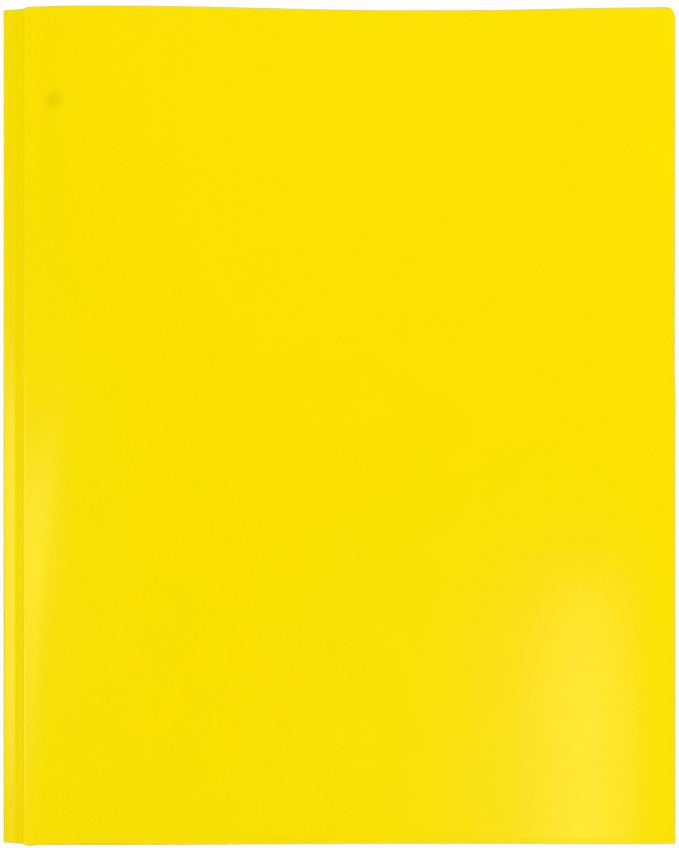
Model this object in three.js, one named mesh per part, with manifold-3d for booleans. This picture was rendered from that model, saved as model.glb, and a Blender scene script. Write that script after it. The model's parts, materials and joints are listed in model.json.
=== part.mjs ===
// Two-pocket plastic file folder with three double-prong paper fasteners.
// It lies closed on its back cover, in millimetres, +Z up. The spine runs along Y on the -X side.
// The origin is under the middle of the folder, on the surface that it lies on.
import * as THREE from 'three';
import { mergeVertices } from 'three/addons/utils/BufferGeometryUtils.js';
import Module from 'manifold-3d';

// Overall sizes of the closed folder
const FOLDER_WIDTH = 235.0;
const FOLDER_HEIGHT = 292.1;
const SHEET_THICKNESS = 0.5;
const LAYER_GAP = 0.3;

// Expanding spine: two narrow panels, folded towards each other
const SPINE_PANEL_WIDTH = 6.35;
const SPINE_END_RELIEF = 0.8;
const BACK_PANEL_TILT = THREE.MathUtils.degToRad(38);
const FRONT_PANEL_TILT = THREE.MathUtils.degToRad(16);
const HINGE_GAP = 0.3;
const SCORE_DEPTH = 0.2;
const SCORE_WIDTH = 1.0;

// Covers: the front one springs up beside the spine and sags in the middle.
// Above the pockets it is freer, so it sags lower there and lifts more at its free edge.
const COVER_CORNER_RADIUS = 3.0;
const COVER_EDGE_TRIM = 0.3;
const RIDGE_RISE_BOTTOM = -0.8;
const RIDGE_RISE_TOP = 1.9;
const RIDGE_START = 26.0;
const RIDGE_END = 37.0;
const SAG_START = 141.0;
const OPEN_SAG_GAP = 0.6;
const LIP_WIDTH = 80.0;
const LIP_RISE_POCKET = 0.3;
const LIP_RISE_TOP = 4.2;

// Pockets, folded up from the bottom edge of each cover, with a side flap
const POCKET_INSET = 28.0;
const POCKET_INNER_HEIGHT = 99.0;
const POCKET_OUTER_HEIGHT = 158.0;
const POCKET_CORNER_RADIUS = 8.0;
const POCKET_EDGE_INSET = 0.5;
const FLAP_WIDTH = 12.0;

// Fastener strip, welded beside the spine on the inside of the back cover
const STRIP_INSET = 9.0;
const STRIP_WIDTH = 17.4;
const STRIP_END_INSET = 8.0;
const STRIP_CORNER_RADIUS = 2.5;
const STRIP_SHOULDER = 1.2;

// Paper fasteners: a flat base with two legs, and a prong on each leg
const HOLE_SPACING = 107.95;
const METAL_THICKNESS = 0.35;
const BASE_LENGTH = 30.0;
const BASE_WIDTH = 7.0;
const PRONG_WIDTH = 3.6;
const PRONG_LENGTH = 22.0;
const PRONG_TIP_RADIUS = 1.6;
const BEAD_WIDTH = 0.9;
const BEAD_HEIGHT = 0.2;
const BEAD_MARGIN = 2.4;
const LEG_ROOT = 1.6;
const LEG_REACH = 5.6;
const LOW_LEG_DROP = 1.3;
const SLOT_CLEARANCE = 0.4;

// Fineness of the curved forms
const BOW_STEPS = 44;
const COVER_ROWS = 14;
const FOLD_SEGMENTS = 8;
const CORNER_SEGMENTS = 8;

// Places that follow from the sizes
const halfWidth = FOLDER_WIDTH / 2;
const halfHeight = FOLDER_HEIGHT / 2;
const halfSheet = SHEET_THICKNESS / 2;
const halfMetal = METAL_THICKNESS / 2;

// Depths below a cover's outer face, through its side flap and pocket
const coverInnerDepth = SHEET_THICKNESS;
const flapOuterDepth = coverInnerDepth + LAYER_GAP;
const flapInnerDepth = flapOuterDepth + SHEET_THICKNESS;
const pocketOuterDepth = flapInnerDepth + LAYER_GAP;
const pocketInnerDepth = pocketOuterDepth + SHEET_THICKNESS;
const bottomFoldRadius = pocketInnerDepth / 2;
const sideFoldRadius = (pocketInnerDepth - flapOuterDepth) / 2;

// The three fold lines of the spine, as points of its section
const spineFold = new THREE.Vector2(
  -halfWidth + halfSheet,
  halfSheet + SPINE_PANEL_WIDTH * Math.sin(BACK_PANEL_TILT),
);
const backGroove = new THREE.Vector2(
  spineFold.x + SPINE_PANEL_WIDTH * Math.cos(BACK_PANEL_TILT),
  halfSheet,
);
const frontGroove = new THREE.Vector2(
  spineFold.x + SPINE_PANEL_WIDTH * Math.cos(FRONT_PANEL_TILT),
  spineFold.y + SPINE_PANEL_WIDTH * Math.sin(FRONT_PANEL_TILT),
);

// Heights of the front cover's outer face
const grooveLevel = frontGroove.y + halfSheet;
const pocketSagLevel = 2 * pocketInnerDepth + LAYER_GAP;
const openSagLevel = 2 * SHEET_THICKNESS + OPEN_SAG_GAP;

const pocketTop = -halfHeight + POCKET_OUTER_HEIGHT;
const aboveFold = -halfHeight + bottomFoldRadius + LAYER_GAP;
const stripX = -halfWidth + STRIP_INSET + STRIP_WIDTH / 2;
const pocketInnerX = -halfWidth + POCKET_INSET;
const pocketOuterX = halfWidth - POCKET_EDGE_INSET;

const wasm = await Module();
wasm.setup();

// Turns a closed three.js geometry into a solid that can be joined and cut
function toSolid(geometry) {
  const bare = geometry.index ? geometry.toNonIndexed() : geometry.clone();
  bare.deleteAttribute('normal');
  bare.deleteAttribute('uv');
  const merged = mergeVertices(bare, 1e-5);
  const mesh = new wasm.Mesh({
    numProp: 3,
    vertProperties: new Float32Array(merged.attributes.position.array),
    triVerts: new Uint32Array(merged.index.array),
  });
  return new wasm.Manifold(mesh);
}

// Turns a solid back into a three.js geometry
function toGeometry(solid) {
  const mesh = solid.getMesh();
  const geometry = new THREE.BufferGeometry();
  geometry.setAttribute('position', new THREE.BufferAttribute(mesh.vertProperties, 3));
  geometry.setIndex(new THREE.BufferAttribute(mesh.triVerts, 1));
  geometry.computeVertexNormals();
  return geometry;
}

// Rises smoothly from 0 at low to 1 at high
function ease(value, low, high) {
  return THREE.MathUtils.smoothstep(value, low, high);
}

// Height of the front cover's outer face above the surface the folder lies on
function frontCoverLevel(x, y) {
  const { lerp } = THREE.MathUtils;
  const fromFold = x + halfWidth;
  const upTheCover = y / FOLDER_HEIGHT + 0.5;
  const free = ease(y, pocketTop, halfHeight);
  const ridge = grooveLevel + lerp(RIDGE_RISE_BOTTOM, RIDGE_RISE_TOP, upTheCover);
  const sag = lerp(pocketSagLevel, openSagLevel, free);
  const lip = lerp(LIP_RISE_POCKET, LIP_RISE_TOP, free);
  const besideSpine = lerp(grooveLevel, ridge, ease(fromFold, SPINE_PANEL_WIDTH, RIDGE_START));
  const acrossCover = lerp(besideSpine, sag, ease(fromFold, RIDGE_END, SAG_START));
  return acrossCover + lip * ease(fromFold, FOLDER_WIDTH - LIP_WIDTH, FOLDER_WIDTH);
}

// Extrudes a section drawn in (Y, Z) along X
function extrudeAlongX(section, fromX, toX, steps) {
  const geometry = new THREE.ExtrudeGeometry(section, {
    depth: toX - fromX,
    steps,
    bevelEnabled: false,
    curveSegments: FOLD_SEGMENTS,
  });
  const turn = new THREE.Matrix4().makeBasis(
    new THREE.Vector3(0, 1, 0),
    new THREE.Vector3(0, 0, 1),
    new THREE.Vector3(1, 0, 0),
  );
  return geometry.applyMatrix4(turn).translate(fromX, 0, 0);
}

// Extrudes a section drawn in (X, Z) along Y
function extrudeAlongY(section, fromY, toY) {
  const geometry = new THREE.ExtrudeGeometry(section, {
    depth: toY - fromY,
    bevelEnabled: false,
    curveSegments: FOLD_SEGMENTS,
  });
  const turn = new THREE.Matrix4().makeBasis(
    new THREE.Vector3(1, 0, 0),
    new THREE.Vector3(0, 0, 1),
    new THREE.Vector3(0, -1, 0),
  );
  return geometry.applyMatrix4(turn).translate(0, toY, 0);
}

// Extrudes an outline drawn in (X, Y) upwards
function extrudeUp(outline, fromZ, toZ) {
  const geometry = new THREE.ExtrudeGeometry(outline, {
    depth: toZ - fromZ,
    bevelEnabled: false,
    curveSegments: CORNER_SEGMENTS,
  });
  return geometry.translate(0, 0, fromZ);
}

// A centre line given a thickness, as a closed section
function ribbon(points, thickness) {
  const half = thickness / 2;
  const left = [];
  const right = [];
  points.forEach((point, i) => {
    const before = points[Math.max(i - 1, 0)];
    const after = points[Math.min(i + 1, points.length - 1)];
    const into = point.clone().sub(before).normalize();
    const out = after.clone().sub(point).normalize();
    const along = into.add(out).normalize();
    const flat = i > 0 && i < points.length - 1 ? along.dot(out) : 1;
    const side = new THREE.Vector2(-along.y, along.x).multiplyScalar(half / flat);
    left.push(point.clone().add(side));
    right.unshift(point.clone().sub(side));
  });
  return new THREE.Shape([...left, ...right]);
}

// A rectangle with round corners
function roundedRectangle(centreX, centreY, width, height, radius) {
  const shape = new THREE.Shape();
  const right = centreX + width / 2;
  const top = centreY + height / 2;
  const left = centreX - width / 2;
  const bottom = centreY - height / 2;
  shape.absarc(right - radius, top - radius, radius, 0, Math.PI / 2);
  shape.absarc(left + radius, top - radius, radius, Math.PI / 2, Math.PI);
  shape.absarc(left + radius, bottom + radius, radius, Math.PI, 1.5 * Math.PI);
  shape.absarc(right - radius, bottom + radius, radius, 1.5 * Math.PI, 2 * Math.PI);
  return shape;
}

// A thin sheet as a closed grid. place(i, j, face) gives a corner on its outer (0) or inner (1) face.
// The rows run down the sheet. facesDown says that the outer face looks down instead of up.
function sheetSolid(columns, rows, place, facesDown) {
  const points = [];
  for (const face of [0, 1]) {
    for (let i = 0; i <= columns; i += 1) {
      for (let j = 0; j <= rows; j += 1) {
        points.push(...place(i, j, face));
      }
    }
  }
  const corner = (i, j, face) => (face * (columns + 1) + i) * (rows + 1) + j;
  const quads = [];
  for (let i = 0; i < columns; i += 1) {
    for (let j = 0; j < rows; j += 1) {
      quads.push([corner(i, j, 0), corner(i, j + 1, 0), corner(i + 1, j + 1, 0), corner(i + 1, j, 0)]);
      quads.push([corner(i, j, 1), corner(i + 1, j, 1), corner(i + 1, j + 1, 1), corner(i, j + 1, 1)]);
    }
    quads.push([corner(i, 0, 0), corner(i + 1, 0, 0), corner(i + 1, 0, 1), corner(i, 0, 1)]);
    quads.push([corner(i, rows, 0), corner(i, rows, 1), corner(i + 1, rows, 1), corner(i + 1, rows, 0)]);
  }
  for (let j = 0; j < rows; j += 1) {
    const last = columns;
    quads.push([corner(0, j, 0), corner(0, j, 1), corner(0, j + 1, 1), corner(0, j + 1, 0)]);
    quads.push([corner(last, j, 0), corner(last, j + 1, 0), corner(last, j + 1, 1), corner(last, j, 1)]);
  }
  const triangles = quads.flatMap(([a, b, c, d]) => [a, b, c, a, c, d]);
  const geometry = new THREE.BufferGeometry();
  geometry.setAttribute('position', new THREE.Float32BufferAttribute(points, 3));
  geometry.setIndex(facesDown ? triangles.reverse() : triangles);
  return toSolid(geometry);
}

// Outline of a cover from above. It is square at the spine, and its bottom edge is notched where the
// pocket's fold begins. One corner is round, at the top of the free edge, which is trimmed back a
// little above the pocket's side fold.
function coverOutline(fromX) {
  const outline = new THREE.Shape();
  const radius = COVER_CORNER_RADIUS;
  const trimmedX = halfWidth - COVER_EDGE_TRIM;
  const notchX = pocketInnerX - LAYER_GAP;
  outline.moveTo(fromX, -FOLDER_HEIGHT);
  outline.lineTo(notchX, -FOLDER_HEIGHT);
  outline.lineTo(notchX, aboveFold);
  outline.lineTo(FOLDER_WIDTH, aboveFold);
  outline.lineTo(FOLDER_WIDTH, pocketTop);
  outline.lineTo(trimmedX, pocketTop + radius);
  outline.lineTo(trimmedX, halfHeight - radius);
  outline.absarc(trimmedX - radius, halfHeight - radius, radius, 0, Math.PI / 2);
  outline.lineTo(fromX, halfHeight);
  return outline;
}

// The wedge that the pressed score takes off a sheet's outer edge, beside a hinge
function scoreWedge(edgeX, outerZ, side) {
  const wedge = new THREE.Shape([
    new THREE.Vector2(edgeX - SCORE_WIDTH, outerZ - side * SCORE_WIDTH),
    new THREE.Vector2(edgeX + SCORE_WIDTH, outerZ - side * SCORE_WIDTH),
    new THREE.Vector2(edgeX + SCORE_WIDTH, outerZ),
    new THREE.Vector2(edgeX, outerZ + side * SCORE_DEPTH),
    new THREE.Vector2(edgeX - SCORE_WIDTH, outerZ + side * SCORE_DEPTH),
  ]);
  return extrudeAlongY(wedge, -FOLDER_HEIGHT, FOLDER_HEIGHT);
}

// How far a sheet stops short of a fold line, so that its neighbour can turn there
function hingeTrim(tilt) {
  return HINGE_GAP / 2 + halfSheet * Math.tan(tilt / 2);
}

// A cover from its groove to its free edge. side is 1 for the back cover, whose inside is above it,
// and -1 for the front cover.
function makeCover(startX, columns, level, side) {
  const place = (i, j, face) => {
    const x = THREE.MathUtils.lerp(startX, halfWidth, i / columns);
    const y = THREE.MathUtils.lerp(halfHeight, -halfHeight, j / COVER_ROWS);
    return [x, y, level(x, y) + side * face * SHEET_THICKNESS];
  };
  const sheet = sheetSolid(columns, COVER_ROWS, place, side > 0);
  const outline = toSolid(extrudeUp(coverOutline(startX), -FOLDER_HEIGHT, FOLDER_HEIGHT));
  const wedge = toSolid(scoreWedge(startX, level(startX, 0), side));
  return toGeometry(sheet.intersect(outline).subtract(wedge));
}

function makeBackCover() {
  return makeCover(backGroove.x + hingeTrim(BACK_PANEL_TILT), 1, () => 0, 1);
}

function makeFrontCover() {
  return makeCover(frontGroove.x + hingeTrim(FRONT_PANEL_TILT), BOW_STEPS, frontCoverLevel, -1);
}

// The fold along the bottom edge of a cover, where its sheet turns back to form the pocket
function makeBottomFold(columns, level, side) {
  const place = (i, j, face) => {
    const x = THREE.MathUtils.lerp(pocketInnerX, halfWidth, i / columns);
    const angle = Math.PI * (j / FOLD_SEGMENTS);
    const radius = bottomFoldRadius - face * SHEET_THICKNESS;
    const y = -halfHeight + bottomFoldRadius - radius * Math.sin(angle);
    return [x, y, level(x, y) + side * (bottomFoldRadius - radius * Math.cos(angle))];
  };
  return toGeometry(sheetSolid(columns, FOLD_SEGMENTS, place, side > 0));
}

// Outline of a pocket from above, with its sloping top edge
function pocketOutline() {
  const inner = new THREE.Vector2(pocketInnerX, -halfHeight + POCKET_INNER_HEIGHT);
  const outer = new THREE.Vector2(halfWidth, pocketTop);
  const slope = outer.clone().sub(inner).normalize();
  const roundEnd = inner.clone().addScaledVector(slope, POCKET_CORNER_RADIUS);
  const outline = new THREE.Shape();
  outline.moveTo(inner.x, aboveFold);
  outline.lineTo(outer.x, aboveFold);
  outline.lineTo(outer.x, outer.y);
  outline.lineTo(roundEnd.x, roundEnd.y);
  outline.quadraticCurveTo(inner.x, inner.y, inner.x, inner.y - POCKET_CORNER_RADIUS);
  return outline;
}

// Section of a pocket across the folder: panel, fold at the free edge, and the flap under it
function pocketCentreLine(level, side) {
  const foldX = pocketOuterX - sideFoldRadius;
  const panelDepth = pocketOuterDepth + halfSheet;
  const flapDepth = flapOuterDepth + halfSheet;
  const middleDepth = (panelDepth + flapDepth) / 2;
  const turnRadius = (panelDepth - flapDepth) / 2;
  const points = [];
  for (let i = 0; i <= BOW_STEPS; i += 1) {
    const x = THREE.MathUtils.lerp(pocketInnerX, foldX, i / BOW_STEPS);
    points.push(new THREE.Vector2(x, level(x) + side * panelDepth));
  }
  for (let i = 1; i < FOLD_SEGMENTS; i += 1) {
    const angle = Math.PI * (i / FOLD_SEGMENTS);
    const x = foldX + turnRadius * Math.sin(angle);
    points.push(new THREE.Vector2(x, level(x) + side * (middleDepth + turnRadius * Math.cos(angle))));
  }
  for (let i = 0; i <= FOLD_SEGMENTS; i += 1) {
    const x = foldX - FLAP_WIDTH * (i / FOLD_SEGMENTS);
    points.push(new THREE.Vector2(x, level(x) + side * flapDepth));
  }
  return points;
}

function makePocket(level, side) {
  const section = ribbon(pocketCentreLine(level, side), SHEET_THICKNESS);
  const sheet = extrudeAlongY(section, -halfHeight, pocketTop);
  return toSolid(sheet).intersect(toSolid(extrudeUp(pocketOutline(), -FOLDER_HEIGHT, FOLDER_HEIGHT)));
}

function makeBackPocket() {
  return toGeometry(makePocket(() => 0, 1));
}

// The front pocket hangs under the bowed cover and takes the same twist along its height
function makeFrontPocket() {
  const geometry = toGeometry(makePocket((x) => frontCoverLevel(x, 0), -1));
  const position = geometry.attributes.position;
  for (let i = 0; i < position.count; i += 1) {
    const x = position.getX(i);
    const twist = frontCoverLevel(x, position.getY(i)) - frontCoverLevel(x, 0);
    position.setZ(i, position.getZ(i) + twist);
  }
  return geometry;
}

// Section of a spine panel in its own (along, outwards) plane, thinned beside its scored edges
function spinePanelSection(start, end, scoreAtStart) {
  const section = new THREE.Shape();
  const thin = halfSheet - SCORE_DEPTH;
  section.moveTo(start, -halfSheet);
  section.lineTo(end, -halfSheet);
  section.lineTo(end, thin);
  section.lineTo(end - SCORE_WIDTH, halfSheet);
  if (scoreAtStart) {
    section.lineTo(start + SCORE_WIDTH, halfSheet);
    section.lineTo(start, thin);
  } else {
    section.lineTo(start, halfSheet);
    section.absarc(start, 0, halfSheet, Math.PI / 2, 1.5 * Math.PI);
  }
  return section;
}

// Extrudes a spine panel's section along Y, leans it back by tilt and sets its fold edge in place
function placeSpinePanel(section, tilt) {
  const length = halfHeight - SPINE_END_RELIEF;
  const panel = extrudeAlongY(section, -length, length);
  return panel.rotateY(-tilt).translate(spineFold.x, 0, spineFold.y);
}

function makeFrontSpinePanel() {
  const end = SPINE_PANEL_WIDTH - hingeTrim(FRONT_PANEL_TILT);
  return placeSpinePanel(spinePanelSection(0, end, false), FRONT_PANEL_TILT);
}

// The back panel leaves room beside the front panel's round nose, on which the spine folds
function makeBackSpinePanel() {
  const between = BACK_PANEL_TILT + FRONT_PANEL_TILT;
  const reach = halfSheet * (1 + Math.cos(between)) + HINGE_GAP;
  const start = reach / Math.sin(between);
  const end = SPINE_PANEL_WIDTH - hingeTrim(BACK_PANEL_TILT);
  const section = spinePanelSection(start, end, true);
  const length = halfHeight - SPINE_END_RELIEF;
  const panel = extrudeAlongY(section, -length, length).rotateX(Math.PI);
  return panel.rotateY(BACK_PANEL_TILT).translate(spineFold.x, 0, spineFold.y);
}

// Heights of the fastener parts above the surface
const baseBottom = coverInnerDepth + LAYER_GAP;
const baseTop = baseBottom + METAL_THICKNESS;
const stripEdgeMiddle = coverInnerDepth + LAYER_GAP + halfSheet;
const stripRaisedMiddle = baseTop + LAYER_GAP + halfSheet;
const stripTop = stripRaisedMiddle + halfSheet;

// The point about which a prong bends: its distance from the hole's centre, and its height.
// A leg that presses on the front cover ends just under it, and the other leg of its pair is lower.
function prongPivot(holeY, presses) {
  const nearEdge = stripX - PRONG_WIDTH / 2;
  const under = frontCoverLevel(nearEdge, holeY - LEG_REACH) - coverInnerDepth - LAYER_GAP;
  const height = under - METAL_THICKNESS - (presses ? 0 : LOW_LEG_DROP);
  return new THREE.Vector2(LEG_REACH, height);
}

// How far a leg's middle has leaned from the hole's centre at a height
function legOffset(height, holeY, presses) {
  const pivot = prongPivot(holeY, presses);
  const rootHeight = baseBottom + halfMetal;
  return THREE.MathUtils.mapLinear(height, rootHeight, pivot.y, LEG_ROOT, pivot.x);
}

// Slots in the strip for a fastener's two legs, long enough for the flatter leg and the steeper one
function cutLegSlots(strip, holeY) {
  const across = PRONG_WIDTH + 2 * SLOT_CLEARANCE;
  const reach = METAL_THICKNESS + SLOT_CLEARANCE;
  const near = legOffset(stripTop - SHEET_THICKNESS, holeY, true) - reach;
  const far = legOffset(stripTop, holeY, false) + reach;
  let cut = strip;
  for (const direction of [-1, 1]) {
    const slotY = holeY + direction * (near + far) / 2;
    const slot = roundedRectangle(stripX, slotY, across, far - near, SLOT_CLEARANCE);
    cut = cut.subtract(toSolid(extrudeUp(slot, 0, FOLDER_HEIGHT)));
  }
  return cut;
}

function makeFastenerStrip() {
  const channel = BASE_WIDTH / 2 + LAYER_GAP + STRIP_SHOULDER;
  const points = [
    new THREE.Vector2(stripX - STRIP_WIDTH / 2, stripEdgeMiddle),
    new THREE.Vector2(stripX - channel - STRIP_SHOULDER, stripEdgeMiddle),
    new THREE.Vector2(stripX - channel, stripRaisedMiddle),
    new THREE.Vector2(stripX + channel, stripRaisedMiddle),
    new THREE.Vector2(stripX + channel + STRIP_SHOULDER, stripEdgeMiddle),
    new THREE.Vector2(stripX + STRIP_WIDTH / 2, stripEdgeMiddle),
  ];
  const length = FOLDER_HEIGHT - 2 * STRIP_END_INSET;
  const sheet = extrudeAlongY(ribbon(points, SHEET_THICKNESS), -length / 2, length / 2);
  const outline = roundedRectangle(stripX, 0, STRIP_WIDTH, length, STRIP_CORNER_RADIUS);
  let strip = toSolid(sheet).intersect(toSolid(extrudeUp(outline, 0, FOLDER_HEIGHT)));
  for (const hole of [-1, 0, 1]) {
    strip = cutLegSlots(strip, hole * HOLE_SPACING);
  }
  return toGeometry(strip);
}

// A leg rises from the base and leans outwards to the point where its prong bends
function makeLeg(holeY, direction, presses) {
  const pivot = prongPivot(holeY, presses);
  const points = [
    new THREE.Vector2(holeY, baseBottom + halfMetal),
    new THREE.Vector2(holeY + direction * LEG_ROOT, baseBottom + halfMetal),
    new THREE.Vector2(holeY + direction * pivot.x, pivot.y),
  ];
  const left = stripX - PRONG_WIDTH / 2;
  const leg = extrudeAlongX(ribbon(points, METAL_THICKNESS), left, left + PRONG_WIDTH, 1);
  return toSolid(leg);
}

function makeFastenerBase(holeY, pressingSide) {
  const plate = roundedRectangle(stripX, holeY, BASE_WIDTH, BASE_LENGTH, BASE_WIDTH / 2 - halfMetal);
  let base = toSolid(extrudeUp(plate, baseBottom, baseTop));
  for (const direction of [-1, 1]) {
    base = base.add(makeLeg(holeY, direction, direction === pressingSide));
  }
  return toGeometry(base);
}

// A prong drawn flat along +Y from its bend: a blade with a round tip and a stiffening bead
function makeProngBlank() {
  const start = halfMetal + LAYER_GAP;
  const half = PRONG_WIDTH / 2;
  const outline = new THREE.Shape();
  outline.moveTo(-half, start);
  outline.lineTo(half, start);
  outline.lineTo(half, PRONG_LENGTH - PRONG_TIP_RADIUS);
  outline.absarc(half - PRONG_TIP_RADIUS, PRONG_LENGTH - PRONG_TIP_RADIUS, PRONG_TIP_RADIUS, 0, Math.PI / 2);
  outline.absarc(PRONG_TIP_RADIUS - half, PRONG_LENGTH - PRONG_TIP_RADIUS, PRONG_TIP_RADIUS, Math.PI / 2, Math.PI);
  const blade = toSolid(extrudeUp(outline, -halfMetal, halfMetal));
  const beadSection = new THREE.Shape();
  beadSection.absellipse(0, 0, BEAD_WIDTH / 2, halfMetal + BEAD_HEIGHT, 0, Math.PI);
  const bead = toSolid(extrudeAlongY(beadSection, start + BEAD_MARGIN, PRONG_LENGTH - BEAD_MARGIN));
  return toGeometry(blade.add(bead));
}

// Bends a prong down from its leg until its tip lies just over the strip
function makeProng(holeY, direction, presses) {
  const pivot = prongPivot(holeY, presses);
  const drop = pivot.y - (stripTop + LAYER_GAP + METAL_THICKNESS);
  const lean = Math.asin(drop / PRONG_LENGTH);
  const prong = makeProngBlank().rotateX(-lean);
  if (direction < 0) {
    prong.rotateZ(Math.PI);
  }
  return prong.translate(stripX, holeY + direction * pivot.x, pivot.y);
}

const sheetMaterial = new THREE.MeshStandardMaterial({ color: 0xfce000, roughness: 0.5, metalness: 0 });
const metalMaterial = new THREE.MeshStandardMaterial({ color: 0xb9bcc0, roughness: 0.35, metalness: 1 });

function addPiece(group, name, geometry, material) {
  const piece = new THREE.Mesh(geometry, material.clone());
  piece.name = name;
  group.add(piece);
}

function addFasteners(group) {
  const places = [
    { name: 'top', holeY: HOLE_SPACING, pressingSide: 1 },
    { name: 'middle', holeY: 0, pressingSide: 1 },
    { name: 'bottom', holeY: -HOLE_SPACING, pressingSide: -1 },
  ];
  for (const { name, holeY, pressingSide } of places) {
    addPiece(group, `fastener_base_${name}`, makeFastenerBase(holeY, pressingSide), metalMaterial);
    for (const [end, direction] of [['upper', 1], ['lower', -1]]) {
      const prong = makeProng(holeY, direction, direction === pressingSide);
      addPiece(group, `prong_${name}_${end}`, prong, metalMaterial);
    }
  }
}

const folder = new THREE.Group();
addPiece(folder, 'back_cover', makeBackCover(), sheetMaterial);
addPiece(folder, 'back_bottom_fold', makeBottomFold(1, () => 0, 1), sheetMaterial);
addPiece(folder, 'back_pocket', makeBackPocket(), sheetMaterial);
addPiece(folder, 'back_spine_panel', makeBackSpinePanel(), sheetMaterial);
addPiece(folder, 'front_spine_panel', makeFrontSpinePanel(), sheetMaterial);
addPiece(folder, 'front_cover', makeFrontCover(), sheetMaterial);
addPiece(folder, 'front_bottom_fold', makeBottomFold(BOW_STEPS, frontCoverLevel, -1), sheetMaterial);
addPiece(folder, 'front_pocket', makeFrontPocket(), sheetMaterial);
addPiece(folder, 'fastener_strip', makeFastenerStrip(), sheetMaterial);
addFasteners(folder);

export default folder;
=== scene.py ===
"""Dresses the two-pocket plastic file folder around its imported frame. Lengths are in metres."""

import json
import math
from functools import lru_cache

import bmesh
import bpy
from bpy.props import FloatProperty, FloatVectorProperty, IntProperty, PointerProperty
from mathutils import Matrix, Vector


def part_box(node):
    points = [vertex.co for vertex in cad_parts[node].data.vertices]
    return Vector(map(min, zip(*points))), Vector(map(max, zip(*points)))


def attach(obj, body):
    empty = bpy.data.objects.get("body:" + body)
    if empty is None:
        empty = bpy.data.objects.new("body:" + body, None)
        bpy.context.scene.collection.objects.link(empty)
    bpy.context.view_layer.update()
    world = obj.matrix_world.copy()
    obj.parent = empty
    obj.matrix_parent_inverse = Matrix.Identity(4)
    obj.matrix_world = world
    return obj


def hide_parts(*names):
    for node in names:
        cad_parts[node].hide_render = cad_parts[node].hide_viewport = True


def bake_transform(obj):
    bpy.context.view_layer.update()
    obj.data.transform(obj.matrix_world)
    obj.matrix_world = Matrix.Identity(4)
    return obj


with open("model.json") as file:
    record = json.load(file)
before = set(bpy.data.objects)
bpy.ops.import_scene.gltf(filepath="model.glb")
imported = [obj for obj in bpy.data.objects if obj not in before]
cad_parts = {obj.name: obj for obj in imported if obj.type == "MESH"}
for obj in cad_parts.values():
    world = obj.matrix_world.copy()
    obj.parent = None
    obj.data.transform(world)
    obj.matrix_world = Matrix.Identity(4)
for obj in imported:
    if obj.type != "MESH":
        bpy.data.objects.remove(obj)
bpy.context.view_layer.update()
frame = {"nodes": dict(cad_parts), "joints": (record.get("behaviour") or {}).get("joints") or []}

bl_info = {
    "name": "Plastic file folder",
    "version": (1, 0, 0),
    "blender": (4, 2, 0),
    "location": "View3D > Sidebar > Folder",
    "description": "Builds a two-pocket plastic file folder with bending paper fasteners",
    "category": "Object",
}

MM = 0.001

# The sheet and the spine, as the frame has them
SHEET_THICKNESS = 0.5 * MM
HALF_SHEET = SHEET_THICKNESS / 2
LAYER_GAP = 0.3 * MM
SPINE_PANEL_WIDTH = 6.35 * MM

# Both ends of the spine: how far the sheet is cut back there, and where that cut ends beside the groove
SPINE_END_RELIEF = 0.8 * MM
RELIEF_START = 0.5 * MM
RELIEF_END = 3.2 * MM
PLAIN_EDGE_TRIM = 0.3 * MM

# How far the folded strip at the spine reaches along each panel, and its roundness
FOLD_REACH = 1.6 * MM
FOLD_ROUND = 0.3 * MM

# The bow of the front cover: its ridge, the sag beyond it, the spring beside the groove, the lift of the
# free edge beside the pocket and at the top, and the free edge's trim and round top corner
RIDGE_RISE_BOTTOM = -0.8 * MM
RIDGE_RISE_TOP = 1.9 * MM
RIDGE_START = 26.0 * MM
RIDGE_END = 37.0 * MM
SAG_START = 141.0 * MM
OPEN_SAG_GAP = 0.6 * MM
SPRING_RISE = 0.8 * MM
SPRING_REACH = 8.0 * MM
EDGE_LIFT_WIDTH = 80.0 * MM
EDGE_LIFT_POCKET = 0.3 * MM
EDGE_LIFT_TOP = 4.2 * MM
COVER_EDGE_TRIM = 0.3 * MM
COVER_CORNER_RADIUS = 3.0 * MM

# The pockets
POCKET_INSET = 28.0 * MM
POCKET_INNER_HEIGHT = 99.0 * MM
POCKET_OUTER_HEIGHT = 158.0 * MM
POCKET_CORNER_RADIUS = 8.0 * MM
POCKET_EDGE_INSET = 0.5 * MM
FLAP_WIDTH = 12.0 * MM
FLAP_DROP = 0.3 * MM

# Depths below a cover's outer face, of the middles of its side flap and pocket
FLAP_DEPTH = SHEET_THICKNESS + LAYER_GAP + HALF_SHEET
POCKET_DEPTH = FLAP_DEPTH + LAYER_GAP + SHEET_THICKNESS
POCKET_INNER_DEPTH = POCKET_DEPTH + HALF_SHEET
BOTTOM_FOLD_RADIUS = POCKET_INNER_DEPTH / 2

# The pressed groove: its shift from the hinge line, and in half widths its span and its lip's distance
SCORE_SHIFT = 0.5 * MM
SCORE_SPAN = 3
LIP_DISTANCE = 2.2

# Distances between a sheet's columns: on the spine panel, across the groove, beside it, at the free edge
# and round the spine fold
PANEL_STEP = 0.3 * MM
SCORE_STEP = 0.11 * MM
BESIDE_STEP = 1.2 * MM
CORNER_STEP = 0.3 * MM
FOLD_STEP = 0.1 * MM

# How close two points are that become one, and a point that lies on a seam, and the rounding of sharp edges
SAME_POINT = 1e-7
SEAM_MARGIN = 1e-6
COUNT_MARGIN = 1e-9
SHARP_ANGLE = math.radians(40)
BEVEL_SEGMENTS = 2

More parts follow.
